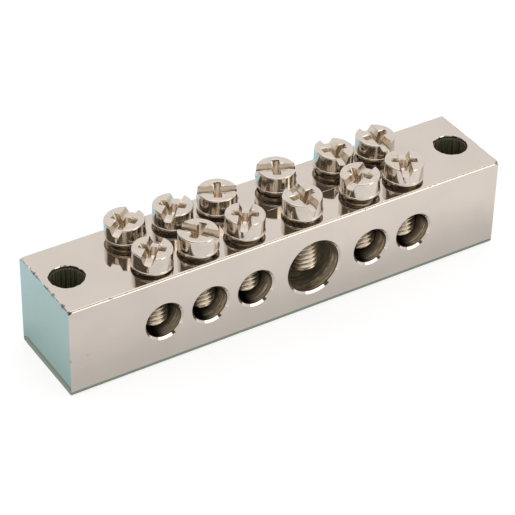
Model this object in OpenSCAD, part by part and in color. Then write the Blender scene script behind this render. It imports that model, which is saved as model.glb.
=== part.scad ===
// Earth terminal bar: a square bar of plated brass, drilled across for the wires,
// with two rows of clamp screws standing in its top.
// The length runs along X, the wires enter along Y, and the base lies on Z = 0.
// The origin is the middle of the base. All sizes are in millimetres.

/* [Bar] */
// Length of the bar
bar_length = 73.5; // [72:0.5:90]
// Width and height of the square section
bar_side = 15; // [14.8:0.1:16.5]
// Radius of the two long edges on top
top_edge_r = 0.25; // [0.1:0.05:0.5]
// Radius of the two long edges underneath
bottom_edge_r = 0.5; // [0.1:0.05:1.5]

/* [Wire ways] */
// Diameter of the five ordinary ways
small_way_d = 5.75; // [5.3:0.05:6]
// Diameter of the wide way for the main conductor
large_way_d = 8.75; // [7:0.05:9]
// Spacing of ordinary ways
way_pitch = 7.65; // [7.3:0.05:7.7]
// Spacing on either side of the wide way
large_way_pitch = 10.05; // [9.8:0.05:10.2]
// Chamfer round the mouth of each way
mouth_chamfer = 0.3; // [0.2:0.05:0.6]

/* [Fixing holes] */
// Diameter of the fixing hole near each end
fixing_hole_d = 5.2; // [4.5:0.1:5.5]
// Distance of its axis from the end of the bar
fixing_hole_inset = 3.7; // [3.5:0.1:5]

/* [Clamp screws] */
// Nominal diameter of the thread
screw_d = 5; // [4:0.1:5]
// Radial play of the shank in its tapped hole
thread_play = 0.05; // [0.03:0.01:0.08]
// Length of the shank under the head
shank_length = 9.5; // [8.5:0.1:9.7]
// Chamfer at the tip of the shank
tip_chamfer = 0.35; // [0.3:0.05:0.8]
// Distance of each row of screws from the middle of the bar
row_offset = 3.7; // [3.5:0.1:3.9]

/* [Screw heads] */
// Diameter of the wall of the head
head_d = 6; // [5.8:0.1:6.2]
// Height of the head
head_height = 2.8; // [2.6:0.1:3.2]
// Radius of the shoulder round the top of the head
shoulder_r = 0.25; // [0.1:0.05:0.4]
// How far the thin lip at the foot of the head stands out
lip_out = 0.1; // [0.05:0.05:0.2]
// Height of that lip
lip_height = 0.3; // [0.2:0.05:0.4]

/* [Drive recess] */
// Width of the straight slot at the top of the head
slot_top = 1.9; // [1.6:0.1:2]
// Width of the floor of the slot
slot_floor = 1.1; // [0.8:0.1:1.3]
// Depth of the slot
slot_depth = 0.95; // [0.7:0.05:1.2]
// Span of the cross from tip to tip
cross_span = 3.9; // [3.6:0.1:4.2]
// Width of each wing of the cross at the top
wing_top = 1.3; // [1.1:0.1:1.5]
// Depth of the cross
cross_depth = 2.1; // [1.8:0.1:2.3]

/* [Hidden] */
$fn = 64;
eps = 0.01;
way_height = bar_side / 2;
small_way_r = small_way_d / 2;
large_way_r = large_way_d / 2;
fixing_hole_x = bar_length / 2 - fixing_hole_inset;
screw_r = screw_d / 2;
tapped_hole_r = screw_r + thread_play;
tapped_hole_chamfer = 0.3;

// The ways from left to right: the fourth is the wide one
WAYS = [0 : 5];
WIDE = 3;
function way_r(i) = i == WIDE ? large_way_r : small_way_r;
function step_to(i) = i == WIDE || i == WIDE + 1 ? large_way_pitch : way_pitch;
row_length = 3 * way_pitch + 2 * large_way_pitch;
function way_x(i) = i == 0 ? -row_length / 2 : way_x(i - 1) + step_to(i);

// Each row: its name, its Y, the turn of each slot from +X, and the gap under each head
FRONT = ["front", -row_offset, [48, -53, 56, 91, 27, 62], [0.35, 0.6, 0.7, 0.55, 0.85, 0.5]];
REAR = ["rear", row_offset, [36, 46, -27, -27, 83, 90], [0.9, 0.55, 0.45, 0.95, 0.9, 0.8]];
ROWS = [FRONT, REAR];
function screw_name(row, i) = str("screw_", row[0], "_", i + 1);

// The head above its seating face
head_r = head_d / 2;
lip_r = head_r + lip_out;
lip_edge = 0.08;
bulge_top_r = 0.95;
bulge_foot_r = 0.35;
bulge_out = 0.16;
bulge_foot = lip_height + 0.15;
bulge_top = head_height - slot_depth;

// The cross narrows towards its floor, and a square core turned by 45 degrees joins its wings
wing_floor = 0.7;
cross_floor_span = 1.9;
core_top = 1.9;
core_floor = 1.1;

bar_colour = [0.83, 0.80, 0.76];
screw_colour = [0.70, 0.67, 0.61];

// Section of the bar, with X across it and Y up
module bar_section() {
    half = bar_side / 2;
    top = bar_side - top_edge_r;
    polygon([
        [half - bottom_edge_r, 0], [half, bottom_edge_r], [half, top], [half - top_edge_r, bar_side],
        [top_edge_r - half, bar_side], [-half, top], [-half, bottom_edge_r], [bottom_edge_r - half, 0]
    ]);
    for (side = [-1, 1]) {
        translate([side * (half - top_edge_r), top]) circle(r = top_edge_r);
        translate([side * (half - bottom_edge_r), bottom_edge_r]) circle(r = bottom_edge_r);
    }
}

// A wire way right through the bar, with a chamfered mouth at the front and the rear
module wire_way(r) {
    reach = mouth_chamfer + eps;
    rotate([90, 0, 0]) cylinder(h = bar_side + 2, r = r, center = true);
    for (side = [-1, 1])
        translate([0, side * (bar_side / 2 - mouth_chamfer), 0])
            rotate([-90 * side, 0, 0]) cylinder(h = reach, r1 = r, r2 = r + reach);
}

// A hole from the top of the bar down into a wire way
module tapped_hole() {
    translate([0, 0, way_height]) cylinder(h = bar_side, r = tapped_hole_r);
    translate([0, 0, bar_side - tapped_hole_chamfer])
        cylinder(
            h = tapped_hole_chamfer + eps,
            r1 = tapped_hole_r,
            r2 = tapped_hole_r + tapped_hole_chamfer + eps
        );
}

module terminal_bar() {
    color(bar_colour) difference() {
        rotate([90, 0, 90]) linear_extrude(bar_length, center = true) bar_section();
        for (i = WAYS) {
            translate([way_x(i), 0, way_height]) wire_way(way_r(i));
            for (row = ROWS) translate([way_x(i), row[1], 0]) tapped_hole();
        }
        for (side = [-1, 1])
            translate([side * fixing_hole_x, 0, -1]) cylinder(h = bar_side + 2, r = fixing_hole_d / 2);
    }
}

// A flat-sided block that narrows downwards from its top face at Z = 0
module tapered_block(top_x, top_y, floor_x, floor_y, depth) {
    above = 0.5;
    intersection() {
        rotate([90, 0, 0]) linear_extrude(top_y * 4, center = true)
            tapered_outline(top_x, floor_x, depth, above);
        rotate([90, 0, 90]) linear_extrude(top_x * 4, center = true)
            tapered_outline(top_y, floor_y, depth, above);
    }
}

module tapered_outline(top, floor_width, depth, above) {
    flare = (top - floor_width) / 2 * above / depth;
    polygon([
        [-floor_width / 2, -depth], [floor_width / 2, -depth],
        [top / 2 + flare, above], [-top / 2 - flare, above]
    ]);
}

// The combined drive, measured down from the top of the head: a straight slot
// right across, and a deeper cross whose wings stop short of the rim
module drive_recess() {
    rotate([90, 0, 90]) linear_extrude(head_d * 2, center = true)
        tapered_outline(slot_top, slot_floor, slot_depth, 0.5);
    for (turn = [0, 90])
        rotate(turn) tapered_block(cross_span, wing_top, cross_floor_span, wing_floor, cross_depth);
    rotate(45) tapered_block(core_top, core_top, core_floor, core_floor, cross_depth);
    translate([0, 0, -cross_depth - 0.25]) cylinder(h = 0.3, r1 = 0.1, r2 = wing_floor / 2);
}

// Half section of the head and shank, from the flat tip to the top of the head
module screw_profile() {
    polygon([
        [0, -shank_length], [screw_r - tip_chamfer, -shank_length], [screw_r, tip_chamfer - shank_length],
        [screw_r, 0], [lip_r - lip_edge, 0], [lip_r, lip_edge], [lip_r, lip_height - lip_edge],
        [head_r, lip_height], [head_r, head_height - shoulder_r], [head_r - shoulder_r, head_height],
        [0, head_height]
    ]);
    translate([head_r - shoulder_r, head_height - shoulder_r]) circle(r = shoulder_r);
}

// The metal that the slot punch pushes out of the wall below each end of the slot
module slot_bulges() {
    for (side = [-1, 1])
        translate([side * (head_r + bulge_out - bulge_top_r), 0, bulge_foot])
            cylinder(h = bulge_top - bulge_foot, r1 = bulge_foot_r, r2 = bulge_top_r);
}

// A clamp screw about its own axis, with its seating face at Z = 0
module screw_blank() {
    difference() {
        union() {
            rotate_extrude() screw_profile();
            slot_bulges();
        }
        translate([0, 0, head_height]) drive_recess();
    }
}

module clamp_screw(row, i) {
    color(screw_colour)
        translate([way_x(i), row[1], bar_side + row[3][i]]) rotate(row[2][i]) screw_blank();
}

terminal_bar();
for (row = ROWS, i = WAYS)
    clamp_screw(row, i);
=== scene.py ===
"""Earth terminal bar: the plated bar and its clamp screws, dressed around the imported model.

The file is laid out as an add-on. Run as a script, it makes every piece and the stage in order.
All lengths are in metres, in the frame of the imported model: X along the bar, Y to the rear, Z up.
"""
import math
from contextlib import contextmanager
from types import SimpleNamespace

import bmesh
import bpy
from bpy.props import FloatProperty, FloatVectorProperty, PointerProperty
from mathutils import Matrix, Vector, noise


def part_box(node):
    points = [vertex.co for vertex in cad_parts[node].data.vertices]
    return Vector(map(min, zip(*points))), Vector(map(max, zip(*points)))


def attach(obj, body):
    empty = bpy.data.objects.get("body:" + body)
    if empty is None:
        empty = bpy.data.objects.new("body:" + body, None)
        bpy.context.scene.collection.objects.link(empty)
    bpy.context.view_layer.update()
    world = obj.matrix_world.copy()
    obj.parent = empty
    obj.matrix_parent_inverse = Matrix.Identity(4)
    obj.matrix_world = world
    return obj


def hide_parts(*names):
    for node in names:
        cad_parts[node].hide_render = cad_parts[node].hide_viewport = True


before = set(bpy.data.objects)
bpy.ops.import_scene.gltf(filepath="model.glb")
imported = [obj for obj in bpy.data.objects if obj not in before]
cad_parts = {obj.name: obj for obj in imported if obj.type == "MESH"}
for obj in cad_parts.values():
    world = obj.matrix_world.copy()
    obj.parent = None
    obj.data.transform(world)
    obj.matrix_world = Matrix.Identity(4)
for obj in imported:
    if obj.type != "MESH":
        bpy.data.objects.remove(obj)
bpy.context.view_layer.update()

bl_info = {
    "name": "Earth terminal bar",
    "version": (1, 0, 0),
    "blender": (4, 5, 0),
    "location": "View3D > Sidebar > Terminal bar",
    "description": "Models a plated earth terminal bar and its clamp screws, with finishes and a stage",
    "category": "Object",
}

MM = 0.001
# Width of the strip that joins a finely divided band to the wide face beside it.
JOIN = 0.06 * MM
# Points nearer to each other than this count as one.
SAME = 1e-7
BAR_NODE = "terminal_bar"
SCREW_NODES = sorted(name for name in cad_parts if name.startswith("screw_"))
BAR_LOW, BAR_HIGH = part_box(BAR_NODE)
COLUMNS = 6
WIDE_COLUMN = 4


# ---------------------------------------------------------------- settings


def length(name, description, millimetres):
    """A length that the user can change, given in millimetres."""
    return FloatProperty(
        name=name, description=description, default=millimetres * MM, precision=5,
        unit="LENGTH", subtype="DISTANCE",
    )


def angle(name, description, degrees):
    """An angle that the user can change, given in degrees."""
    return FloatProperty(
        name=name, description=description, default=math.radians(degrees), subtype="ANGLE",
    )


def colour(name, description, value):
    """A linear colour that the user can change."""
    return FloatVectorProperty(
        name=name, description=description, default=value, size=3, min=0, max=2, subtype="COLOR",
    )


class BarSizes(bpy.types.PropertyGroup):
    """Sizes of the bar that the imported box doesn't give."""

    top_edge_r: length("Top edges", "Radius of the two long edges on top", 0.38)
    bottom_edge_r: length("Bottom edges", "Radius of the two long edges underneath", 0.5)
    end_edge_r: length("End edges", "How far the sawn ends are broken", 0.09)
    edge_band: length("Edge band", "Width of the finely divided band along every edge", 0.6)
    edge_wander: length("Edge wander", "How far the edges wander in and out", 0.014)
    small_way_r: length("Ordinary ways", "Radius of the ordinary wire ways", 2.875)
    large_way_r: length("Wide way", "Radius of the way for the main conductor", 4.375)
    mouth_chamfer: length("Mouth chamfer", "Chamfer round the mouth of each way", 0.3)
    mouth_dish: length("Mouth dish", "Depth of the faint dish round each mouth", 0.012)
    tapped_hole_r: length("Tapped holes", "Radius of the holes for the clamp screws", 2.55)
    fixing_hole_r: length("Fixing holes", "Radius of the fixing hole near each end", 2.6)
    fixing_inset: length("Fixing hole inset", "From the end of the bar to the fixing hole", 3.7)


class ScrewSizes(bpy.types.PropertyGroup):
    """Sizes of a clamp screw, with its seating face at height nought."""

    head_r: length("Head", "Radius of the wall of the head", 3.0)
    head_height: length("Head height", "Height of the head", 2.8)
    shoulder_r: length("Shoulder", "Radius round the top of the head", 0.25)
    lip_r: length("Lip", "Radius of the thin lip at the foot of the head", 3.1)
    lip_height: length("Lip height", "Height of that lip", 0.3)
    slot_top: length("Slot top", "Width of the straight slot at the top", 1.8)
    slot_floor: length("Slot floor", "Width of the floor of the slot", 1.2)
    slot_flare: length("Slot flare", "How much wider the slot opens at the rim", 0.3)
    slot_depth: length("Slot depth", "Depth of the slot", 0.95)
    cross_span: length("Cross span", "Span of the cross recess from tip to tip", 3.9)
    wing_top: length("Wing width", "Width of a wing of the cross at the top", 1.15)
    cross_depth: length("Cross depth", "Depth of the cross recess", 2.1)
    recess_lip: length("Recess edge", "Radius of the pressed edge of the recess", 0.09)
    shank_r: length("Shank", "Outer radius of the thread", 2.5)
    shank_length: length("Shank length", "From the seating face to the tip", 9.5)
    tip_chamfer: length("Tip chamfer", "Chamfer at the tip", 0.35)
    neck_r: length("Neck", "Radius of the plain neck under the head", 2.1)
    neck_length: length("Neck length", "Length of the plain neck", 0.35)
    pitch: length("Pitch", "Pitch of the thread", 0.8)
    thread_depth: length("Thread depth", "Depth of the thread", 0.43)


class Finishes(bpy.types.PropertyGroup):
    """Colours of the metal and its wear, and the painted light and shade on it."""

    bar_plate: colour("Bar plate", "Nickel plate on the bar", (0.68, 0.615, 0.54))
    # Lit colour inside the ways, which is painted light. The painted shade there is a small share of it.
    lit_bore_metal: colour("Bore metal", "Thinner, duller plate inside the ways", (1.0, 0.80, 0.53))
    screw_plate: colour("Screw plate", "Nickel plate on the screws", (0.69, 0.625, 0.54))
    thread_crest: colour("Thread crest", "Plate on the crests of the thread", (0.66, 0.585, 0.475))
    # Painted shade at the roots of the thread.
    thread_root_shade: colour("Thread root", "Stained plate at the root of the thread", (0.37, 0.31, 0.225))
    # Painted shade in a dark band round the neck, under the head.
    neck_shade: colour("Neck", "Grime round the neck under the head", (0.18, 0.145, 0.10))
    # Painted shade on the walls of the slot and the cross.
    recess_shade: colour("Recess", "Stained plate in the slot and the cross", (0.68, 0.59, 0.48))
    # Painted shade in the fixing holes, with upright streaks that go between these two colours.
    hole_deep_shade: colour("Hole, dark", "Darkest metal in the fixing holes", (0.025, 0.025, 0.015))
    hole_pale_shade: colour("Hole, light", "Lightest metal in the fixing holes", (0.17, 0.16, 0.095))
    # Colour of the dark nicks and of the dark specks in the pits, and of the painted shade along the top
    # edges and at the ends.
    dirt_and_shade: colour("Dirt", "Dark residue in pits and corners", (0.045, 0.032, 0.02))


class StageSettings(bpy.types.PropertyGroup):
    """Where the camera stands."""

    azimuth: angle("Azimuth", "Turn of the camera about the bar, nought looking along +Y", -32.42)
    elevation: angle("Elevation", "Height of the camera as an angle", 36.753)
    roll: angle("Roll", "Turn of the camera about its own axis", 1.308)
    distance: length("Distance", "From the camera to the plane of the bar's middle", 334.63)
    pan_x: length("Pan across", "Where the camera aims, across its view", -1.0957)
    pan_y: length("Pan up", "Where the camera aims, up its view", 4.7481)
    lens: FloatProperty(
        name="Lens", description="Focal length on a 36 mm sensor, in millimetres", default=155.17,
    )


class TerminalBarSettings(bpy.types.PropertyGroup):
    """All that the user would change."""

    bar: PointerProperty(type=BarSizes)
    screw: PointerProperty(type=ScrewSizes)
    finishes: PointerProperty(type=Finishes)
    stage: PointerProperty(type=StageSettings)


def settings():
    return bpy.context.scene.terminal_bar


# ---------------------------------------------------------------- modelling by hand


def make_active(piece):
    bpy.ops.object.select_all(action="DESELECT")
    piece.select_set(True)
    bpy.context.view_layer.objects.active = piece


@contextmanager
def editing(piece):
    """Edit mode on one piece, with all of it selected."""
    make_active(piece)
    bpy.ops.object.mode_set(mode="EDIT")
    bpy.ops.mesh.select_mode(type="EDGE")
    bpy.ops.mesh.select_all(action="SELECT")
    yield
    bpy.ops.object.mode_set(mode="OBJECT")


def pick_edges(piece, wanted):
    """Selects just the edges whose two ends pass a test, in edit mode."""
    bpy.ops.mesh.select_all(action="DESELECT")
    mesh = bmesh.from_edit_mesh(piece.data)
    for edge in mesh.edges:
        a, b = (v.co for v in edge.verts)
        edge.select_set(wanted(a, b))
    bmesh.update_edit_mesh(piece.data)


def bevel_edges(piece, wanted, radius, segments):
    pick_edges(piece, wanted)
    bpy.ops.mesh.bevel(offset=radius, segments=segments, profile=0.5, affect="EDGES")


def settle(piece):
    """Puts a piece's place, turn and size into its mesh."""
    make_active(piece)
    bpy.ops.object.transform_apply(location=True, rotation=True, scale=True)
    return piece


def place(piece, location=(0, 0, 0), rotation=(0, 0, 0)):
    piece.location = location
    piece.rotation_euler = rotation
    return settle(piece)


def apply_modifier(piece, kind, **values):
    make_active(piece)
    modifier = piece.modifiers.new(kind.title(), kind)
    for name, value in values.items():
        setattr(modifier, name, value)
    bpy.ops.object.modifier_apply(modifier=modifier.name)


def combine(piece, operation, tools):
    """Cuts the tools out of a piece, or joins them to it, all at once, and throws them away."""
    group = bpy.data.collections.new("tools")
    for tool in tools:
        group.objects.link(tool)
    apply_modifier(
        piece, "BOOLEAN", operation=operation, operand_type="COLLECTION", collection=group, solver="EXACT",
    )
    for tool in tools:
        bpy.data.objects.remove(tool)
    bpy.data.collections.remove(group)
    if not piece.data.polygons:
        raise RuntimeError(f"{operation} left nothing of {piece.name}")


def new_piece(name, points, edges):
    mesh = bpy.data.meshes.new(name)
    mesh.from_pydata(points, edges, [])
    piece = bpy.data.objects.new(name, mesh)
    bpy.context.scene.collection.objects.link(piece)
    return piece


def close_up(threshold=SAME):
    """Merges doubles and turns all faces outwards, in edit mode with all selected."""
    bpy.ops.mesh.select_all(action="SELECT")
    bpy.ops.mesh.remove_doubles(threshold=threshold)
    bpy.ops.mesh.normals_make_consistent(inside=False)


def rounded(corners, steps=4):
    """A line of (x, y) points through corners given as (x, y, radius), each rounded by an arc."""
    points = []
    for n, (x, y, radius) in enumerate(corners):
        corner = Vector((x, y))
        if radius <= 0 or n in (0, len(corners) - 1):
            points.append(corner)
            continue
        before = (Vector(corners[n - 1][:2]) - corner).normalized()
        after = (Vector(corners[n + 1][:2]) - corner).normalized()
        half = before.angle(after) / 2
        centre = corner + (before + after).normalized() * radius / math.sin(half)
        start = corner + before * radius / math.tan(half) - centre
        turn = before.angle_signed(after)
        sweep = math.copysign(math.pi - 2 * half, turn)
        for step in range(steps + 1):
            a = sweep * step / steps
            c, s = math.cos(a), math.sin(a)
            points.append(centre + Vector((c * start.x - s * start.y, s * start.x + c * start.y)))
    return points


def turned(name, corners, sides=96, steps=4):
    """A solid turned about Z from (radius, height, rounding) corners, both ends on the axis."""
    points = [(p.x, 0, p.y) for p in rounded(corners, steps)]
    piece = new_piece(name, points, [(n, n + 1) for n in range(len(points) - 1)])
    with editing(piece):
        bpy.ops.mesh.spin(steps=sides, angle=math.tau, center=(0, 0, 0), axis=(0, 0, 1))
        close_up()
    return piece


def lofted(name, outlines):
    """A solid through closed outlines that all have the same number of points."""
    count = len(outlines[0])
    points = [point for outline in outlines for point in outline]
    edges = [
        (row * count + n, row * count + (n + 1) % count)
        for row in range(len(outlines))
        for n in range(count)
    ]
    piece = new_piece(name, points, edges)
    with editing(piece):
        for row in range(len(outlines) - 1):
            mesh = bmesh.from_edit_mesh(piece.data)
            mesh.verts.ensure_lookup_table()
            rows = set(mesh.verts[row * count:(row + 2) * count])
            for edge in mesh.edges:
                mine = all(v in rows for v in edge.verts)
                edge.select_set(mine and abs(edge.verts[0].index - edge.verts[1].index) in (1, count - 1))
            bmesh.update_edit_mesh(piece.data)
            bpy.ops.mesh.bridge_edge_loops()
            bpy.ops.mesh.select_all(action="DESELECT")
        bpy.ops.mesh.select_all(action="SELECT")
        bpy.ops.mesh.fill_holes(sides=0)
        close_up()
    return piece


def check_closed(piece, height):
    """Stops the run if a piece isn't one closed skin of the height it should have."""
    mesh = bmesh.new()
    mesh.from_mesh(piece.data)
    open_edges = sum(len(edge.link_faces) != 2 for edge in mesh.edges)
    volume = mesh.calc_volume()
    mesh.free()
    levels = [v.co.z for v in piece.data.vertices]
    slack = 0.05 * MM
    if open_edges or volume <= 0 or abs(max(levels) - min(levels) - height) > slack:
        raise RuntimeError(f"{piece.name} isn't closed: {open_edges} open edges")


def finish_shading(piece, degrees=30):
    """Smooth faces with crisp edges, and normals that keep the flat faces flat."""
    make_active(piece)
    bpy.ops.object.shade_smooth_by_angle(angle=math.radians(degrees), keep_sharp_edges=False)
    apply_modifier(piece, "WEIGHTED_NORMAL", mode="FACE_AREA", weight=50, keep_sharp=True)


# ---------------------------------------------------------------- the bar


def column_x(column):
    """Where a wire way crosses the bar, from the screw that stands in it."""
    low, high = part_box(f"screw_front_{column}")
    return (low.x + high.x) / 2


def row_y(row):
    low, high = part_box(f"screw_{row}_1")
    return (low.y + high.y) / 2


def way_tool(sizes, column):
    """Cuts one wire way with its chamfered, faintly dished mouths."""
    r = sizes.large_way_r if column == WIDE_COLUMN else sizes.small_way_r
    half, chamfer, dish = BAR_HIGH.y, sizes.mouth_chamfer, sizes.mouth_dish
    rim, out = r + chamfer, half + 1 * MM
    dish_width, proud = 0.2 * MM, 0.004 * MM
    mouth = [
        (r, half - dish - chamfer, 0),
        (rim, half - dish, 0),
        (rim + dish_width, half + proud, 0),
        (rim + dish_width, out, 0),
        (0, out, 0),
    ]
    below = [(x, -y, radius) for x, y, radius in reversed(mouth)]
    sides = 128 if column == WIDE_COLUMN else 96
    tool = turned("way_tool", below + mouth, sides=sides, steps=2)
    return place(tool, (column_x(column), 0, BAR_HIGH.z / 2), (math.pi / 2, 0, 0))


def tapped_tool(sizes, column, row):
    """Cuts one hole from the top down into its way."""
    r, top, chamfer, past = sizes.tapped_hole_r, BAR_HIGH.z, 0.3 * MM, 0.1 * MM
    corners = [
        (0, top / 2, 0), (r, top / 2, 0), (r, top - chamfer, 0),
        (r + chamfer, top, 0), (r + 0.5 * MM, top + past, 0), (0, top + past, 0),
    ]
    return place(turned("tapped_tool", corners), (column_x(column), row_y(row), 0))


def fixing_tool(sizes, side):
    """Cuts the fixing hole near one end, with rims that aren't quite true."""
    r, top, past = sizes.fixing_hole_r, BAR_HIGH.z, 0.5 * MM
    wide, rim = r + 0.4 * MM, r + 0.05 * MM
    deep, soft, crisp = 0.12 * MM, 0.1 * MM, 0.03 * MM
    corners = [
        (0, -past, 0), (wide, -past, 0), (rim, 0, crisp), (r, deep, soft),
        (r, top - deep, soft), (rim, top, crisp), (wide, top + past, 0), (0, top + past, 0),
    ]
    tool = turned("fixing_tool", corners, steps=2)
    rim_band, wander = 0.2 * MM, 0.09 * MM
    coarse, fine, fine_share = 900, 3100, 0.8
    shift = Vector((side * 7.3, 0, 0))
    for v in tool.data.vertices:
        if min(abs(v.co.z), abs(v.co.z - top)) < rim_band and v.co.xy.length > r / 2:
            ragged = noise.noise(v.co * coarse + shift) + fine_share * noise.noise(v.co * fine + shift)
            v.co.xy *= 1 + wander * ragged / r
    return place(tool, (side * (BAR_HIGH.x - sizes.fixing_inset), 0, 0))


def face_distances(co):
    """How far a point lies inside each pair of faces of the bar, nearest first."""
    return sorted((
        BAR_HIGH.x - abs(co.x), BAR_HIGH.y - abs(co.y), min(co.z - BAR_LOW.z, BAR_HIGH.z - co.z),
    ))


def bar_blank(sizes):
    """The sawn length of bar, with a band marked off along each edge."""
    size = BAR_HIGH - BAR_LOW
    bpy.ops.object.select_all(action="DESELECT")
    bpy.ops.mesh.primitive_cube_add(size=1, location=(BAR_LOW + BAR_HIGH) / 2, scale=size)
    piece = bpy.context.active_object
    piece.name = "plated_bar"
    settle(piece)
    top, near = BAR_HIGH.z, 1e-6

    def long_edge(height):
        return lambda a, b: abs(a.z - height) < near and abs(b.z - height) < near and abs(a.y - b.y) < near

    def at_end(a, b):
        return abs(a.x - b.x) < near and abs(abs(a.x) - BAR_HIGH.x) < near

    with editing(piece):
        bevel_edges(piece, long_edge(top), sizes.top_edge_r, segments=5)
        bevel_edges(piece, long_edge(0), sizes.bottom_edge_r, segments=7)
        bevel_edges(piece, at_end, sizes.end_edge_r, segments=3)
        mark_bands(sizes)
    return piece


def mark_bands(sizes):
    """Marks off a band along each edge, and a thin strip that joins it to the wide face."""
    middle = (BAR_LOW + BAR_HIGH) / 2
    for axis in range(3):
        for side in (-1, 1):
            normal = Vector([float(n == axis) * side for n in range(3)])
            for inset in (sizes.edge_band, sizes.edge_band + JOIN):
                bpy.ops.mesh.select_all(action="SELECT")
                bpy.ops.mesh.bisect(
                    plane_co=middle + normal * (BAR_HIGH[axis] - middle[axis] - inset), plane_no=normal,
                    threshold=SAME,
                )


def divide_bands(piece, sizes):
    """Divides the bands finely and leaves the wide faces whole."""
    nearly_all, any_length = 0.999, 1
    shortest_long, shortest_across = 0.7 * MM, 0.2 * MM

    def in_band(axis, shortest, longest):
        def wanted(a, b):
            along, whole = abs(a[axis] - b[axis]), (a - b).length
            straight = along > nearly_all * whole and shortest < whole < longest
            return straight and face_distances((a + b) / 2)[1] < sizes.edge_band + JOIN / 2
        return wanted

    # Pairs of an axis and a number of cuts. X is cut twice over, as one call makes at most 100 cuts.
    long_cuts = ((0, 99), (0, 4), (1, 79), (2, 79))
    with editing(piece):
        for axis, cuts in long_cuts:
            pick_edges(piece, in_band(axis, shortest_long, any_length))
            bpy.ops.mesh.subdivide(number_cuts=cuts)
        for axis in range(3):
            pick_edges(piece, in_band(axis, shortest_across, shortest_long))
            bpy.ops.mesh.subdivide(number_cuts=3)
        close_up()


# Dents in the edges: place on the bar in millimetres, radius, depth, and how dark the dent is.
DENTS = (
    ((-36.75, 4.4, 15.0), 0.42, 0.20, 0.0),
    ((-36.75, 3.1, 15.0), 0.35, 0.10, 1.0),
    ((-36.75, 2.2, 15.0), 0.30, 0.08, 0.9),
    ((-36.75, -1.0, 15.0), 0.30, 0.08, 0.9),
    ((-36.75, -2.6, 15.0), 0.45, 0.10, 0.8),
    ((-36.75, -5.6, 15.0), 0.50, 0.10, 0.9),
    ((-36.75, -7.4, 15.0), 0.50, 0.16, 1.0),
    ((-36.75, 7.3, 15.0), 0.60, 0.16, 0.3),
    ((-30.2, -7.5, 15.0), 0.30, 0.07, 0.7),
    ((-27.6, -7.5, 15.0), 0.20, 0.05, 0.6),
    ((-17.4, -7.5, 15.0), 0.25, 0.06, 0.6),
    ((12.6, -7.5, 15.0), 0.30, 0.08, 0.0),
    ((24.2, -7.5, 15.0), 0.25, 0.07, 0.5),
    ((36.6, -7.5, 15.0), 0.45, 0.15, 0.8),
    ((-36.75, -7.5, 6.2), 0.30, 0.07, 0.3),
    ((-36.75, 6.9, 0.2), 0.35, 0.10, 0.3),
    ((-8.8, -7.5, 0.1), 0.35, 0.08, 0.3),
)


def wear_edges(piece, sizes):
    """Lets the edges wander a little, knocks the dents into them and keeps how dark each point is."""
    # Scales of the noise in the wander of the edges and in the ragged rims of the dents.
    coarse, fine, ragged_rim = 1400, 4200, 5200
    reach, steepness = 1.5, 1.6
    dents = [(Vector(at) * MM, radius * MM, depth * MM, dark) for at, radius, depth, dark in DENTS]
    normals = [v.normal.copy() for v in piece.data.vertices]
    layer = piece.data.attributes.new("nick", "FLOAT", "POINT")
    for n, (v, normal) in enumerate(zip(piece.data.vertices, normals)):
        weight = 1 - face_distances(v.co)[1] / sizes.edge_band
        if weight <= 0:
            continue
        wander = noise.noise(v.co * coarse) * 0.6 + noise.noise(v.co * fine) * 0.4
        depth, nick = sizes.edge_wander * (0.5 + 0.9 * wander), 0.0
        for at, radius, deep, dark in dents:
            far = (v.co - at).length / radius
            if far < reach:
                ragged = far + 0.45 * noise.noise(v.co * ragged_rim)
                sunk = max(0.0, 1 - ragged * ragged)
                depth += deep * sunk
                nick = max(nick, dark * min(1.0, sunk * 2))
        layer.data[n].value = nick
        v.co -= normal * depth * min(1.0, weight * steepness)


def make_bar():
    sizes = settings().bar
    piece = bar_blank(sizes)
    tools = [way_tool(sizes, column) for column in range(1, COLUMNS + 1)]
    tools += [
        tapped_tool(sizes, column, row) for row in ("front", "rear") for column in range(1, COLUMNS + 1)
    ]
    tools += [fixing_tool(sizes, side) for side in (-1, 1)]
    combine(piece, "DIFFERENCE", tools)
    divide_bands(piece, sizes)
    wear_edges(piece, sizes)
    check_closed(piece, BAR_HIGH.z - BAR_LOW.z)
    finish_shading(piece)
    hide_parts(BAR_NODE)
    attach(piece, "bar")
    return piece


# ---------------------------------------------------------------- the clamp screws


def slot_tool(sizes):
    """Cuts the straight slot, which flares where the punch came out at the rim."""
    top, depth, lip = sizes.head_height, sizes.slot_depth, sizes.recess_lip
    outlines = []
    # Places along the slot in millimetres from its middle, closest together where it flares.
    reach = [0.6, 1.2, 1.5, 1.8, 2.1, 2.35, 2.6, 2.8, 3.0, 3.2, 3.5]
    flare_from, flare_length, flare_curve = 1.3, 1.75, 1.6
    fall_from, fall = 2.1, 0.2 * MM
    for x in [-x for x in reversed(reach)] + reach:
        flare = max(0.0, (abs(x) - flare_from) / flare_length) ** flare_curve * sizes.slot_flare / 2
        wide = sizes.slot_top / 2 + flare
        floor = sizes.slot_floor / 2 + 0.12 * flare
        deep = depth + fall * max(0.0, abs(x) - fall_from)
        # Half of the section: along the floor, up the wall and over the pressed edge.
        side = [
            (floor - 0.1 * MM, -deep), (floor, -deep + 0.08 * MM),
            (wide - 0.1 * flare, -2.2 * lip - 0.4 * flare),
            (wide + 0.15 * lip, -0.9 * lip), (wide + 0.5 * lip, -0.3 * lip), (wide + lip, 0.02 * lip),
            (wide + 4 * lip, 4 * lip),
        ]
        outline = [(y, z) for y, z in side] + [(-y, z) for y, z in reversed(side)]
        outlines.append([(x * MM, y, top + z) for y, z in outline])
    return lofted("slot_tool", outlines)


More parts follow.
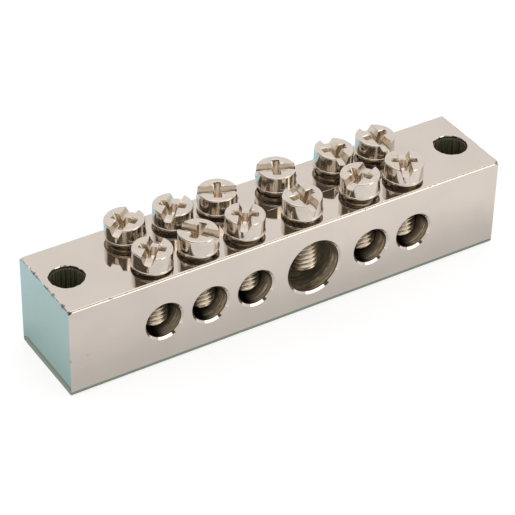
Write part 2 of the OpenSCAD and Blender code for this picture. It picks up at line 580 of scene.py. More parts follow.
def cross_outline(span, wing, core, grow, height):
    """One level of the cross recess: four wings joined by a core with flats between them."""
    s, w = span / 2 + grow, wing / 2 + grow
    meet = max((core / 2 + grow) * math.sqrt(2) - w, w * 1.001)
    tip = min(0.22 * MM, w * 0.45)
    quarter = [(s - tip * 0.5, -w), (s, -w + tip), (s, w - tip), (s - tip * 0.5, w), (meet, w), (w, meet)]
    outline = []
    for turn in range(4):
        c, d = round(math.cos(turn * math.pi / 2)), round(math.sin(turn * math.pi / 2))
        outline += [(c * x - d * y, d * x + c * y, height) for x, y in quarter]
    return outline


def cross_tool(sizes):
    """Cuts the deeper cross, which narrows towards its floor."""
    top, lip, depth = sizes.head_height, sizes.recess_lip, sizes.cross_depth
    levels = [(4 * lip, 4 * lip), (lip, 0.02 * lip), (0.5 * lip, -0.3 * lip), (0.15 * lip, -0.9 * lip)]
    outlines = [
        cross_outline(sizes.cross_span, sizes.wing_top, 1.9 * MM, grow, top + z)
        for grow, z in levels
    ]
    # From the top to the floor the span, the wings and the core all get smaller by these amounts.
    less_span, less_wing, core, less_core = 2.0 * MM, 0.5 * MM, 1.9, 0.8
    for share in (0.12, 0.55, 1.0):
        outlines.append(cross_outline(
            sizes.cross_span - less_span * share, sizes.wing_top - less_wing * share,
            (core - less_core * share) * MM, 0, top - depth * share,
        ))
    point = 0.25 * MM
    outlines.append(cross_outline(0.7 * MM, 0.3 * MM, 0.5 * MM, 0, top - depth - point))
    return lofted("cross_tool", outlines)


def tick_tool(sizes, turn):
    """Cuts one of the fine marks that run out between the wings."""
    bpy.ops.object.select_all(action="DESELECT")
    bpy.ops.mesh.primitive_cone_add(
        vertices=4, radius1=0.17 * MM, radius2=0.02 * MM, depth=0.95 * MM, end_fill_type="NGON",
    )
    out = 1.15 * MM
    tool = place(bpy.context.active_object, (out, 0, sizes.head_height), (0, math.pi / 2, 0))
    return place(tool, rotation=(0, 0, turn))


def bulge_tool(sizes, side):
    """The metal that the punch pushed out of the wall below one end of the slot."""
    foot, tall, lean, sunk = sizes.lip_height + 0.12 * MM, 1.24 * MM, 0.28, 0.28 * MM
    corners = [
        (0, 0, 0), (0.3 * MM, 0, 0.08 * MM), (0.85 * MM, tall, 0.05 * MM),
        (0.7 * MM, tall + 0.1 * MM, 0.04 * MM), (0, tall + 0.12 * MM, 0),
    ]
    tool = turned("bulge_tool", corners, sides=48)
    return place(tool, (side * (sizes.head_r - sunk), 0, foot), (0, -side * lean, 0))


def head_blank(sizes):
    """The turned head with its thin lip and plain neck."""
    r, lip, height, neck = sizes.head_r, sizes.lip_height, sizes.head_height, sizes.neck_r
    corners = [
        (0, -sizes.neck_length / 2, 0), (neck, -sizes.neck_length / 2, 0), (neck, 0, 0.08 * MM),
        (sizes.lip_r, 0, 0.07 * MM), (sizes.lip_r, lip, 0.09 * MM), (r, lip + 0.03 * MM, 0.06 * MM),
        (r, height, sizes.shoulder_r), (0, height, 0),
    ]
    return turned("clamp_screw", corners, sides=128, steps=6)


def threaded_shank(sizes):
    """The rolled thread as a true helix, from its chamfered tip to an open end at the neck."""
    pitch, crest, root = sizes.pitch, sizes.shank_r, sizes.shank_r - sizes.thread_depth
    tip, neck = -sizes.shank_length, -sizes.neck_length
    # One turn of the thread as pairs of a radius and a share of the pitch.
    ridge = [
        (root, 0), (root, 0.14), (root + 0.05 * MM, 0.21), (crest - 0.06 * MM, 0.46), (crest, 0.53),
        (crest, 0.61), (crest - 0.06 * MM, 0.68), (root + 0.05 * MM, 0.93), (root, 1.0),
    ]
    turns = math.ceil(sizes.shank_length / pitch) + 3
    points = [(r, 0, tip + (share - 1.5) * pitch) for r, share in ridge]
    piece = new_piece("shank", points, [(n, n + 1) for n in range(len(points) - 1)])
    apply_modifier(
        piece, "SCREW", angle=math.tau, screw_offset=pitch, iterations=turns, steps=64, render_steps=64,
        use_merge_vertices=False,
    )
    for v in piece.data.vertices:
        r, z = v.co.xy.length, v.co.z
        if tip < z < neck:
            shaped = min(r, crest - sizes.tip_chamfer + (z - tip), root + (neck - z))
        else:
            z, shaped = (tip, root) if z <= tip else (neck, root)
        v.co = Vector((v.co.x * shaped / r, v.co.y * shaped / r, z))
    with editing(piece):
        close_up(10 * SAME)
        pick_edges(piece, lambda a, b: max(a.z, b.z) < tip + SAME)
        bpy.ops.mesh.edge_face_add()
    return piece


def join_at_neck(piece, shank, sizes):
    """Opens the foot of the head and bridges it to the open end of the shank."""
    with editing(piece):
        bpy.ops.mesh.select_mode(type="FACE")
        bpy.ops.mesh.select_all(action="DESELECT")
        mesh = bmesh.from_edit_mesh(piece.data)
        for face in mesh.faces:
            face.select_set(max(v.co.z for v in face.verts) < -sizes.neck_length / 2 + SAME)
        bmesh.update_edit_mesh(piece.data)
        bpy.ops.mesh.delete(type="FACE")
    bpy.ops.object.select_all(action="DESELECT")
    shank.select_set(True)
    piece.select_set(True)
    bpy.context.view_layer.objects.active = piece
    bpy.ops.object.join()
    with editing(piece):
        bpy.ops.mesh.select_all(action="DESELECT")
        bpy.ops.mesh.select_non_manifold()
        bpy.ops.mesh.bridge_edge_loops()
        close_up()


def screw_master():
    """One clamp screw about its own axis, with its slot along X."""
    sizes = settings().screw
    piece = head_blank(sizes)
    combine(piece, "UNION", [bulge_tool(sizes, side) for side in (-1, 1)])
    ticks = [tick_tool(sizes, math.radians(45 + 90 * n)) for n in range(4)]
    combine(piece, "DIFFERENCE", [slot_tool(sizes), cross_tool(sizes)] + ticks)
    join_at_neck(piece, threaded_shank(sizes), sizes)
    check_closed(piece, sizes.shank_length + sizes.head_height)
    finish_shading(piece)
    return piece


def slot_turn(node, axis):
    """The turn of a packed screw's slot, from the bulges that stand proud of its head."""
    sizes = settings().screw
    proud = sizes.lip_r + 0.02 * MM
    doubled = Vector((0, 0))
    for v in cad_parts[node].data.vertices:
        out = v.co.xy - axis
        if out.length > proud:
            a = 2 * math.atan2(out.y, out.x)
            doubled += Vector((math.cos(a), math.sin(a)))
    return math.atan2(doubled.y, doubled.x) / 2


def keep_own_place(mesh):
    """Stores each point's place on the screw itself, for patterns that turn with it."""
    layer = mesh.attributes.new("own_place", "FLOAT_VECTOR", "POINT")
    for n, v in enumerate(mesh.vertices):
        layer.data[n].vector = v.co


# How far each screw leans along X in its thread, in degrees.
LEANS = {
    "screw_front_1": 2.2, "screw_front_3": 2.0, "screw_front_4": -1.2, "screw_front_5": -0.8,
    "screw_front_6": 2.4, "screw_rear_1": -2.4, "screw_rear_2": 1.0, "screw_rear_3": -0.7,
    "screw_rear_5": 1.8, "screw_rear_6": -0.5,
}
# The height above the base at which a leaning screw stays on the axis of its hole.
LEAN_HEIGHT = 12.7 * MM


def make_screws():
    sizes = settings().screw
    master = screw_master()
    keep_own_place(master.data)
    pieces = []
    for node in SCREW_NODES:
        low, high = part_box(node)
        axis = ((low + high) / 2).xy
        make_active(master)
        bpy.ops.object.duplicate(linked=False)
        piece = bpy.context.active_object
        piece.name = f"dressed_{node}"
        piece.data.name = piece.name
        seat = high.z - sizes.head_height
        lean = math.radians(LEANS.get(node, 0))
        place(piece, rotation=(0, 0, slot_turn(node, axis)))
        place(piece, (axis.x + (seat - LEAN_HEIGHT) * math.sin(lean), axis.y, seat), (0, lean, 0))
        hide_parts(node)
        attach(piece, node)
        pieces.append(piece)
    bpy.data.objects.remove(master)
    return pieces


# ---------------------------------------------------------------- node helpers


class Nodes:
    """A node tree that is filled by short calls."""

    def __init__(self, tree):
        self.tree = tree
        tree.nodes.clear()

    def add(self, kind, inputs=None, **values):
        """Adds a node, sets its values, and gives its inputs a constant or a link."""
        node = self.tree.nodes.new(kind)
        for name, value in values.items():
            setattr(node, name, value)
        for name, value in (inputs or {}).items():
            if isinstance(value, bpy.types.NodeSocket):
                self.tree.links.new(value, node.inputs[name])
            else:
                node.inputs[name].default_value = value
        return node

    def math(self, operation, *values, clamp=False):
        inputs = dict(enumerate(values))
        return self.add("ShaderNodeMath", inputs, operation=operation, use_clamp=clamp).outputs[0]

    def smooth(self, value, low, high):
        """Goes smoothly from 0 at low to 1 at high."""
        node = self.add(
            "ShaderNodeMapRange", {"Value": value, "From Min": low, "From Max": high},
            interpolation_type="SMOOTHSTEP",
        )
        return node.outputs["Result"]

    def band(self, value, middle, outer, inner):
        """Is 1 within the inner distance of the middle, and falls to 0 at the outer one."""
        return self.smooth(self.math("ABSOLUTE", self.math("SUBTRACT", value, middle)), outer, inner)

    def mix(self, factor, a, b):
        node = self.add("ShaderNodeMix", data_type="RGBA")
        for socket, value in zip((node.inputs[0], node.inputs[6], node.inputs[7]), (factor, a, b)):
            if isinstance(value, bpy.types.NodeSocket):
                self.tree.links.new(value, socket)
            else:
                socket.default_value = value if isinstance(value, float) else (*value, 1)
        return node.outputs[2]

    def noise(self, vector, scale, detail=2.0, rough=0.5):
        node = self.add(
            "ShaderNodeTexNoise", {"Vector": vector, "Scale": scale, "Detail": detail, "Roughness": rough},
        )
        return node.outputs["Fac"]

    def stretch(self, vector, scale):
        node = self.add("ShaderNodeMapping", {"Vector": vector, "Scale": scale})
        return node.outputs["Vector"]


def new_group(name, inputs, outputs):
    """A shader node group with named inputs and outputs, given as {name: socket type}."""
    tree = bpy.data.node_groups.new(name, "ShaderNodeTree")
    for label, kind in inputs.items():
        tree.interface.new_socket(name=label, in_out="INPUT", socket_type=kind)
    for label, kind in outputs.items():
        tree.interface.new_socket(name=label, in_out="OUTPUT", socket_type=kind)
    nodes = Nodes(tree)
    return tree, nodes, nodes.add("NodeGroupInput"), nodes.add("NodeGroupOutput")


FLOAT, VECTOR = "NodeSocketFloat", "NodeSocketVector"


def scratches_group():
    """Fine scratches along X and a few across it, as a height in metres."""
    tree, n, given, made = new_group(
        "fine_scratches", {"Place": VECTOR, "Depth": FLOAT}, {"Height": FLOAT},
    )
    place_in = given.outputs["Place"]
    along = n.noise(n.stretch(place_in, (60, 9000, 9000)), 1.0, 3.0, 0.7)
    slant = {"Vector": place_in, "Rotation": (0, 0, 0.6), "Scale": (6500, 90, 6500)}
    slanted = n.add("ShaderNodeMapping", slant)
    across = n.smooth(n.noise(slanted.outputs["Vector"], 1.0, 2.0, 0.6), 0.66, 0.78)
    both = n.math("SUBTRACT", along, n.math("MULTIPLY", across, 1.5))
    n.tree.links.new(n.math("MULTIPLY", both, given.outputs["Depth"]), made.inputs["Height"])
    return tree


def pits_group():
    """Sparse small pits: a mask of how deep in a pit each point is."""
    tree, n, given, made = new_group(
        "sparse_pits", {"Place": VECTOR, "Spacing": FLOAT, "Size": FLOAT}, {"Pit": FLOAT},
    )
    cells = n.add("ShaderNodeTexVoronoi", {
        "Vector": given.outputs["Place"], "Scale": n.math("DIVIDE", 1.0, given.outputs["Spacing"]),
        "Randomness": 1.0,
    })
    share = n.math("DIVIDE", given.outputs["Size"], given.outputs["Spacing"])
    chosen = n.add("ShaderNodeSeparateColor", {"Color": cells.outputs["Color"]}).outputs[0]
    size = n.math("MULTIPLY", share, n.math("MULTIPLY", chosen, chosen))
    pit = n.math("SUBTRACT", 1.0, n.math("DIVIDE", cells.outputs["Distance"], size), clamp=True)
    n.tree.links.new(n.smooth(pit, 0.0, 0.4), made.inputs["Pit"])
    return tree


def rings_group():
    """Tool marks that ring a bore along Y, as a height in metres and a mask of streaks, which the ways use
    for painted glints.
    """
    tree, n, given, made = new_group(
        "tool_rings", {"Place": VECTOR, "Depth": FLOAT}, {"Height": FLOAT, "Streak": FLOAT},
    )
    place_in = given.outputs["Place"]
    rings = n.noise(n.stretch(place_in, (140, 7000, 140)), 1.0, 3.0, 0.65)
    broad = n.noise(n.stretch(place_in, (120, 1500, 120)), 1.0, 2.0, 0.5)
    height = n.math("MULTIPLY", n.math("ADD", rings, broad), given.outputs["Depth"])
    n.tree.links.new(height, made.inputs["Height"])
    n.tree.links.new(n.smooth(rings, 0.42, 0.66), made.inputs["Streak"])
    return tree


def group_node(nodes, tree, inputs):
    node = nodes.add("ShaderNodeGroup")
    node.node_tree = tree
    for name, value in inputs.items():
        if isinstance(value, bpy.types.NodeSocket):
            nodes.tree.links.new(value, node.inputs[name])
        else:
            node.inputs[name].default_value = value
    return node


def new_material(name):
    material = bpy.data.materials.new(name)
    material.use_nodes = True
    return material, Nodes(material.node_tree)


def finish_metal(n, colour_out, roughness, height, metallic=1.0):
    """A metal surface from a colour, a roughness and a height in metres."""
    bump = n.add("ShaderNodeBump", {"Height": height, "Strength": 1.0, "Distance": 1.0})
    shader = n.add("ShaderNodeBsdfPrincipled", {
        "Base Color": colour_out, "Metallic": metallic, "Roughness": roughness,
        "Normal": bump.outputs["Normal"],
    })
    n.add("ShaderNodeOutputMaterial", {"Surface": shader.outputs["BSDF"]})


def bar_place(n):
    """Where a point of the bar lies, and how far inside its faces, as sockets."""
    coords = n.add("ShaderNodeTexCoord")
    at = SimpleNamespace(place=coords.outputs["Object"], normal=coords.outputs["Normal"])
    at.x, at.y, at.z = n.add("ShaderNodeSeparateXYZ", {"Vector": at.place}).outputs
    at.to_end = n.math("SUBTRACT", BAR_HIGH.x, n.math("ABSOLUTE", at.x))
    at.to_front = n.math("SUBTRACT", BAR_HIGH.y, n.math("ABSOLUTE", at.y))
    at.to_top = n.math("SUBTRACT", BAR_HIGH.z, at.z)
    depth = n.math("MINIMUM", at.to_end, at.to_front)
    depth = n.math("MINIMUM", depth, n.math("MINIMUM", at.z, at.to_top))
    at.inside = n.smooth(depth, 0.35 * MM, 0.75 * MM)
    return at


def bore_colour(n, at, streaks):
    """Colour of the metal in the ways and the fixing holes, with painted light and shade, and a mask of
    where it is matt.

    A way has painted light, streaked with painted glints along its tool rings, where its wall faces up and
    to the left near a mouth, and painted shade, nearly black, elsewhere. The wide way has half of that
    painted light all through. The fixing holes are painted dark as shade, with upright streaks.
    """
    look = settings().finishes
    up_and_left, shade_share = (-0.75, 0, 0.66), 0.04
    # Painted light where the wall of a way faces up and to the left, near a mouth.
    facing = n.add("ShaderNodeVectorMath", {0: at.normal, 1: up_and_left}, operation="DOT_PRODUCT")
    turned_up = n.smooth(facing.outputs["Value"], 0.35, 0.95)
    light = n.math("MULTIPLY", turned_up, n.smooth(at.to_front, 4.4 * MM, 1.0 * MM))
    # The wide way gets half of the painted light all through.
    wide_way = n.band(at.x, column_x(WIDE_COLUMN), 5.6 * MM, 5.0 * MM)
    light = n.math("MAXIMUM", light, n.math("MULTIPLY", wide_way, 0.50))
    patches = n.smooth(n.noise(n.stretch(at.place, (900, 2500, 900)), 1.0, 3.0, 0.6), 0.3, 0.7)
    # Painted glints along the tool rings, within the painted light.
    shine = n.math("MULTIPLY_ADD", n.math("MULTIPLY", streaks, patches), 0.90, 0.25)
    # Painted shade, nearly black, in the rest of each way.
    bore_in_shade = [c * shade_share for c in look.lit_bore_metal]
    bore = n.mix(n.math("MULTIPLY", light, shine), bore_in_shade, look.lit_bore_metal)
    # Painted shade in the fixing holes near the ends, with upright streaks.
    in_end = n.smooth(n.math("ABSOLUTE", at.x), 28 * MM, 29 * MM)
    upright = n.smooth(n.noise(n.stretch(at.place, (5200, 5200, 150)), 1.0, 3.0, 0.7), 0.35, 0.65)
    bore = n.mix(in_end, bore, n.mix(upright, look.hole_deep_shade, look.hole_pale_shade))
    return bore, n.math("MAXIMUM", light, in_end)


def edge_shade_and_nicks(n, at, tone):
    """Adds painted shade as a broken dark line along the top edges, the painted shadow of the burr at the
    ends, and the dark nicks.
    """
    dirt_and_shade = settings().finishes.dirt_and_shade
    # Painted shade: a broken dark line along the crest of the top edges.
    uneven = n.math("ABSOLUTE", n.math("SUBTRACT", at.to_front, at.to_top))
    close = n.smooth(n.math("ADD", at.to_front, at.to_top), 0.40 * MM, 0.30 * MM)
    edge_shade = n.math("MULTIPLY", n.smooth(uneven, 0.11 * MM, 0.06 * MM), close)
    broken = n.smooth(n.noise(n.stretch(at.place, (2300, 0, 0)), 1.0, 3.0, 0.7), 0.30, 0.62)
    tone = n.mix(n.math("MULTIPLY", edge_shade, n.math("MULTIPLY_ADD", broken, 0.65, 0.20)), tone, dirt_and_shade)
    # Painted shadow of the burr along the top of each end.
    burr = n.smooth(n.math("ADD", at.to_end, at.to_top), 0.20 * MM, 0.10 * MM)
    patchy = n.smooth(n.noise(n.stretch(at.place, (0, 520, 0)), 1.0, 2.0, 0.6), 0.42, 0.60)
    tone = n.mix(n.math("MULTIPLY", burr, n.math("MULTIPLY", patchy, 0.75)), tone, dirt_and_shade)
    nick = n.add("ShaderNodeAttribute", attribute_name="nick").outputs["Fac"]
    return n.mix(n.math("MULTIPLY", nick, 0.9), tone, dirt_and_shade)


def bar_roughness(n, at):
    """Bright plate with a rubbed line along part of the top, and duller metal inside."""
    line_y, line_x, dull_inside = -0.7 * MM, 6 * MM, 0.34
    fine = n.math("MULTIPLY_ADD", n.noise(at.place, 2600.0, 3.0), 0.05, 0.035)
    on_top = n.smooth(at.to_top, 0.10 * MM, 0.05 * MM)
    across = n.band(at.y, line_y, 0.10 * MM, 0.04 * MM)
    along = n.band(at.x, line_x, 7 * MM, 5.5 * MM)
    rubbed = n.math("MULTIPLY", across, along)
    fine = n.math("MULTIPLY_ADD", n.math("MULTIPLY", on_top, rubbed), 0.5, fine)
    return n.add("ShaderNodeMix", {0: at.inside, 2: fine, 3: dull_inside}, data_type="FLOAT").outputs[0]


def plated_bar_material(groups):
    """Bright drawn nickel plate outside, duller tool-marked metal in the ways and holes with painted light
    and shade, and painted shade along the edges.
    """
    look = settings().finishes
    scratch_depth, ring_depth, wave_depth, pit_depth = 0.25e-6, 14e-6, 5e-6, 20e-6
    material, n = new_material("plated_bar")
    at = bar_place(n)
    scratch = group_node(n, groups["scratches"], {"Place": at.place, "Depth": scratch_depth})
    rings = group_node(n, groups["rings"], {"Place": at.place, "Depth": ring_depth})
    pits = group_node(n, groups["pits"], {"Place": at.place, "Spacing": 5.5 * MM, "Size": 0.16 * MM})
    cloud = n.smooth(n.noise(at.place, 180.0, 3.0), 0.3, 0.75)
    tone = n.mix(cloud, look.bar_plate, [c * 0.955 for c in look.bar_plate])
    bore, matt = bore_colour(n, at, rings.outputs["Streak"])
    tone = n.mix(at.inside, tone, bore)
    pit = n.math("MULTIPLY", pits.outputs["Pit"], n.math("SUBTRACT", 1.0, at.inside))
    tone = edge_shade_and_nicks(n, at, n.mix(pit, tone, look.dirt_and_shade))
    wave = n.math("MULTIPLY", n.noise(at.place, 140.0, 1.0), wave_depth)
    skin = n.math("ADD", wave, scratch.outputs["Height"])
    skin = n.math("ADD", skin, n.math("MULTIPLY", pit, -pit_depth))
    height = n.add("ShaderNodeMix", {0: at.inside, 2: skin, 3: rings.outputs["Height"]}, data_type="FLOAT")
    metallic = n.math("MULTIPLY_ADD", n.math("MULTIPLY", at.inside, matt), -0.90, 0.97)
    finish_metal(n, tone, bar_roughness(n, at), height.outputs[0], metallic)
    return material


def plated_screw_material(groups):
    """Bright nickel on a pressed screw, with faint upright streaks on the wall of the head, and painted
    shade in the roots of the thread, round the neck and in the recess.
    """
    look, sizes = settings().finishes, settings().screw
    root, crest, top = sizes.shank_r - sizes.thread_depth, sizes.shank_r, sizes.head_height
    wave_depth, streak_depth, pit_depth = 8e-6, 0.3e-6, 6e-6
    material, n = new_material("plated_screw")
    coords = n.add("ShaderNodeTexCoord")
    place_in = coords.outputs["Object"]
    own = n.add("ShaderNodeAttribute", attribute_name="own_place").outputs["Vector"]
    x, y, z = n.add("ShaderNodeSeparateXYZ", {"Vector": own}).outputs
    round_head = n.math("MULTIPLY", n.math("ARCTAN2", y, x), sizes.head_r)
    unrolled = n.add("ShaderNodeCombineXYZ", {"X": round_head, "Y": z, "Z": 0.0}).outputs[0]
    upright = n.noise(n.stretch(unrolled, (5200, 240, 1)), 1.0, 3.0, 0.6)
    pits = group_node(n, groups["pits"], {"Place": place_in, "Spacing": 1.5 * MM, "Size": 0.10 * MM})
    cloud = n.smooth(n.noise(place_in, 900.0, 3.0), 0.35, 0.75)
    tone = n.mix(cloud, look.screw_plate, [c * 0.92 for c in look.screw_plate])
    thread = n.smooth(z, -0.2 * MM, -0.6 * MM)
    out = n.math("POWER", n.math("ADD", n.math("MULTIPLY", x, x), n.math("MULTIPLY", y, y)), 0.5)
    on_crest = n.smooth(out, root + 0.07 * MM, crest - 0.06 * MM)
    # Painted shade: the roots of the thread are darker than the crests.
    tone = n.mix(thread, tone, n.mix(on_crest, look.thread_root_shade, look.thread_crest))
    # Painted shade round the neck, just under the head.
    shaded = n.math("MULTIPLY", n.smooth(z, -2.0 * MM, -1.4 * MM), n.smooth(z, 0.04 * MM, -0.02 * MM))
    tone = n.mix(shaded, tone, look.neck_shade)
    # Painted shade on the walls of the slot and the cross, where they don't face up.
    upward = n.add("ShaderNodeSeparateXYZ", {"Vector": coords.outputs["Normal"]}).outputs[2]
    within = n.smooth(out, sizes.head_r - 0.1 * MM, sizes.head_r - 0.2 * MM)
    below = n.smooth(z, top - 0.06 * MM, top - 0.20 * MM)
    recess = n.math("MULTIPLY", n.math("MULTIPLY", within, below), n.smooth(upward, 0.85, 0.6))
    recess = n.math("MULTIPLY", recess, n.math("SUBTRACT", 1.0, thread))
    tone = n.mix(recess, tone, look.recess_shade)
    pit = n.math("MULTIPLY", pits.outputs["Pit"], n.math("SUBTRACT", 1.0, thread))
    tone = n.mix(n.math("MULTIPLY", pit, 0.8), tone, look.dirt_and_shade)
    waves = n.math("MULTIPLY", n.noise(place_in, 350.0, 1.0), wave_depth)
    height = n.math("ADD", waves, n.math("MULTIPLY", upright, streak_depth))
    height = n.math("ADD", height, n.math("MULTIPLY", pit, -pit_depth))
    wall = n.math("SUBTRACT", 1.0, n.smooth(z, top - 0.45 * MM, top - 0.05 * MM))
    rough = n.math("MULTIPLY_ADD", n.noise(place_in, 2400.0, 2.0), 0.06, 0.05)
    for part, rougher in ((wall, 0.06), (recess, 0.10), (thread, 0.12)):
        rough = n.math("MULTIPLY_ADD", part, rougher, rough)
    finish_metal(n, tone, rough, height, 0.97)
    return material


def dress(piece, material):
    piece.data.materials.clear()
    piece.data.materials.append(material)


def make_finishes():
    groups = {"scratches": scratches_group(), "pits": pits_group(), "rings": rings_group()}
    bar_material = plated_bar_material(groups)
    screw_material = plated_screw_material(groups)
    dress(bpy.data.objects["plated_bar"], bar_material)
    for node in SCREW_NODES:
        dress(bpy.data.objects[f"dressed_{node}"], screw_material)


# ---------------------------------------------------------------- the stage


def place_camera():
    view = settings().stage
    back = Vector((
        math.sin(view.azimuth) * math.cos(view.elevation),
        -math.cos(view.azimuth) * math.cos(view.elevation),
        math.sin(view.elevation),
    ))
    level = Vector((0, 0, 1)).cross(back).normalized()
    upright = back.cross(level)
    right = level * math.cos(view.roll) + upright * math.sin(view.roll)
    up = upright * math.cos(view.roll) - level * math.sin(view.roll)
    camera = bpy.data.objects.new("camera", bpy.data.cameras.new("camera"))
    camera.matrix_world = Matrix((right, up, back)).transposed().to_4x4()
    camera.location = right * view.pan_x + up * view.pan_y + back * view.distance
    camera.data.lens = view.lens
    camera.data.sensor_width = 36
    camera.data.clip_start = 0.01
    camera.data.clip_end = 20
    bpy.context.scene.collection.objects.link(camera)
    bpy.context.scene.camera = camera


# Painted reflection: what the metal mirrors of the floor, a glow that only the metal sees, with the bar's
# shadow painted in. In front it goes from the foot of the bar outwards, darker at the foot as painted
# shadow, and from left to right. At the ends and behind it is teal, darkest at the foot as painted shadow,
# and goes outwards too. Two dark lines of painted contact shadow run round the foot.
FRONT_FOOT_SHADOW, FRONT_LEFT, FRONT_RIGHT = (0.68, 0.68, 0.69), (0.88, 0.86, 0.88), (1.02, 1.00, 1.02)
FRONT_FAR = (1.25, 1.24, 1.26)
TEAL_FOOT_SHADOW, TEAL_NEAR, TEAL_OPEN = (0.35, 0.55, 0.57), (0.46, 0.68, 0.71), (0.56, 0.81, 0.92)
TEAL_FAR = (1.05, 1.10, 1.14)
OUTER_SHADOW_LINE, INNER_SHADOW_LINE = (0.24, 0.30, 0.27), (0.30, 0.39, 0.37)


def mirrored_floor(n):
    """The painted reflection of the floor that the metal mirrors, with the bar's painted shadow, by the
    distance from the bar.
    """
    place_in = n.add("ShaderNodeTexCoord").outputs["Object"]
    x, y, _ = n.add("ShaderNodeSeparateXYZ", {"Vector": place_in}).outputs
    outside = [
        n.math("POWER", n.math("MAXIMUM", n.math("SUBTRACT", n.math("ABSOLUTE", value), half), 0.0), 2.0)
        for value, half in ((x, BAR_HIGH.x), (y, BAR_HIGH.y))
    ]
    away = n.math("POWER", n.math("ADD", *outside), 0.5)
    far = n.smooth(away, 20 * MM, 120 * MM)
    front = n.mix(n.smooth(x, -36 * MM, 30 * MM), FRONT_LEFT, FRONT_RIGHT)
    front = n.mix(n.smooth(away, 0.0, 14 * MM), FRONT_FOOT_SHADOW, front)
    front = n.mix(far, front, FRONT_FAR)
    teal = n.mix(n.smooth(away, 0.0, 6 * MM), TEAL_FOOT_SHADOW, TEAL_NEAR)
    teal = n.mix(n.smooth(away, 0.0, 18 * MM), teal, TEAL_OPEN)
    teal = n.mix(far, teal, TEAL_FAR)
    # Behind the bar the floor is teal, darkest at its foot as the bar's painted shadow.
    behind = n.smooth(y, BAR_LOW.y - 0.6 * MM, BAR_LOW.y + 0.5 * MM)
    mirrored = n.mix(behind, front, teal)
    # Two dark lines of painted contact shadow round the foot.
    mirrored = n.mix(n.smooth(away, 0.86 * MM, 0.76 * MM), mirrored, OUTER_SHADOW_LINE)
    return n.mix(n.smooth(away, 0.58 * MM, 0.46 * MM), mirrored, INNER_SHADOW_LINE)


def floor_material():
    """White to the camera with the bar's soft shadow, and to the metal a glow with a painted reflection of
    the floor and the bar's painted shadow.
    """
    own_light = 0.69
    material, n = new_material("stage_floor")
    diffuse = n.add("ShaderNodeBsdfDiffuse", {"Color": (0.4, 0.4, 0.4, 1)})
    white = n.add("ShaderNodeEmission", {"Color": (1, 1, 1, 1), "Strength": own_light})
    seen = n.add("ShaderNodeAddShader", {0: diffuse.outputs[0], 1: white.outputs[0]})
    # A glow that only the metal sees: the painted reflection of the floor.
    glow = n.add("ShaderNodeEmission", {"Color": mirrored_floor(n), "Strength": 1.0})
    mirrors = n.add("ShaderNodeLightPath").outputs["Is Glossy Ray"]
    choice = n.add("ShaderNodeMixShader", {0: mirrors, 1: seen.outputs[0], 2: glow.outputs[0]})
    n.add("ShaderNodeOutputMaterial", {"Surface": choice.outputs[0]})
    return material


# Light and dark parts of the room, as the metal mirrors them. Each is a patch: the middle, half width
# and softness of its azimuth, the same of its elevation, all in degrees, and a colour.
ROOM = (
    ((148, 85, 20), (40, 40, 8), (0.985, 0.965, 0.985)),
    ((0, 181, 1), (85, 28, 6), (1.33, 1.30, 1.31)),
    ((-50, 100, 10), (36, 18, 2), (0.085, 0.058, 0.033)),
    ((-38, 18, 3), (16, 17, 1), (0.80, 0.76, 0.72)),
    ((50, 14, 10), (36, 8, 3), (0.22, 0.19, 0.12)),
    ((14, 31, 2), (45.8, 4.6, 0.8), (2.6, 2.5, 2.4)),
    ((47, 14, 2), (37, 10, 2), (2.6, 2.5, 2.4)),
    ((27, 9, 3), (12, 19, 2), (2.6, 2.45, 2.25)),
)
ROOM_BASE = (0.79, 0.76, 0.73)
# The even light of the room on everything that isn't mirrored.
ROOM_EVEN = (0.95, 0.95, 0.95)


def light_room():
    """The world: plain white to the camera, and a simple studio to the metal."""
    world = bpy.data.worlds.new("studio")
    world.use_nodes = True
    bpy.context.scene.world = world
    n = Nodes(world.node_tree)
    ray = n.add("ShaderNodeTexCoord").outputs["Generated"]
    x, y, z = n.add("ShaderNodeSeparateXYZ", {"Vector": ray}).outputs
    azimuth = n.math("MULTIPLY", n.math("ARCTAN2", x, n.math("MULTIPLY", y, -1.0)), 180 / math.pi)
    elevation = n.math("MULTIPLY", n.math("ARCSINE", z), 180 / math.pi)
    room = ROOM_BASE
    for across, up, tint in ROOM:
        turn = n.math("SUBTRACT", azimuth, float(across[0]))
        off = n.math("ABSOLUTE", n.math("WRAP", turn, 180.0, -180.0))
        rise = n.math("ABSOLUTE", n.math("SUBTRACT", elevation, float(up[0])))
        inside = [
            n.smooth(value, float(half + soft), float(half - soft))
            for value, (_, half, soft) in ((off, across), (rise, up))
        ]
        room = n.mix(n.math("MULTIPLY", *inside), room, tint)
    path = n.add("ShaderNodeLightPath")
    even = n.mix(path.outputs["Is Glossy Ray"], ROOM_EVEN, room)
    seen = n.mix(path.outputs["Is Camera Ray"], even, (1.0, 1.0, 1.0))
    background = n.add("ShaderNodeBackground", {"Color": seen, "Strength": 1.0})
    n.add("ShaderNodeOutputWorld", {"Surface": background.outputs[0]})


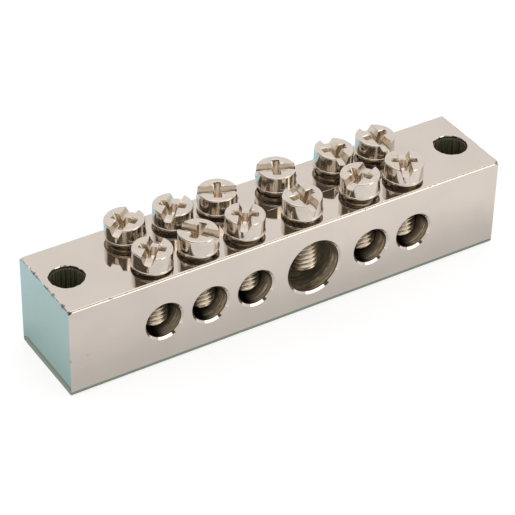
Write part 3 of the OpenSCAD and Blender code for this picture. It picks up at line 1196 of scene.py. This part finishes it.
def set_stage():
    place_camera()
    bpy.ops.object.select_all(action="DESELECT")
    bpy.ops.mesh.primitive_plane_add(size=6, location=(0, 0, BAR_LOW.z))
    floor = bpy.context.active_object
    floor.name = "stage_floor"
    dress(floor, floor_material())
    light_room()
    bpy.context.scene.view_settings.view_transform = "Standard"


# ---------------------------------------------------------------- the add-on


class MakeBar(bpy.types.Operator):
    """Models the bar with its ways, holes and worn edges"""

    bl_idname = "terminal_bar.make_bar"
    bl_label = "Make the bar"

    def execute(self, context):
        make_bar()
        return {"FINISHED"}


class MakeScrews(bpy.types.Operator):
    """Models one clamp screw and stands a copy in each tapped hole"""

    bl_idname = "terminal_bar.make_screws"
    bl_label = "Make the clamp screws"

    def execute(self, context):
        make_screws()
        return {"FINISHED"}


class MakeFinishes(bpy.types.Operator):
    """Gives the bar and the screws their plated metal"""

    bl_idname = "terminal_bar.make_finishes"
    bl_label = "Make the finishes"

    def execute(self, context):
        make_finishes()
        return {"FINISHED"}


class SetStage(bpy.types.Operator):
    """Sets the camera, the floor and the studio light"""

    bl_idname = "terminal_bar.set_stage"
    bl_label = "Set the stage"

    def execute(self, context):
        set_stage()
        return {"FINISHED"}


class TerminalBarPanel(bpy.types.Panel):
    """Lists the operators in the order in which they are run"""

    bl_idname = "VIEW3D_PT_terminal_bar"
    bl_label = "Terminal bar"
    bl_space_type = "VIEW_3D"
    bl_region_type = "UI"
    bl_category = "Terminal bar"

    def draw(self, context):
        for operator in OPERATORS:
            self.layout.operator(operator.bl_idname)


GROUPS = (BarSizes, ScrewSizes, Finishes, StageSettings, TerminalBarSettings)
OPERATORS = (MakeBar, MakeScrews, MakeFinishes, SetStage)


def register():
    for cls in GROUPS + OPERATORS + (TerminalBarPanel,):
        bpy.utils.register_class(cls)
    bpy.types.Scene.terminal_bar = PointerProperty(type=TerminalBarSettings)


def unregister():
    del bpy.types.Scene.terminal_bar
    for cls in reversed(GROUPS + OPERATORS + (TerminalBarPanel,)):
        bpy.utils.unregister_class(cls)


def main():
    register()
    bpy.ops.terminal_bar.make_bar()
    bpy.ops.terminal_bar.make_screws()
    bpy.ops.terminal_bar.make_finishes()
    bpy.ops.terminal_bar.set_stage()


if __name__ == "__main__":
    main()
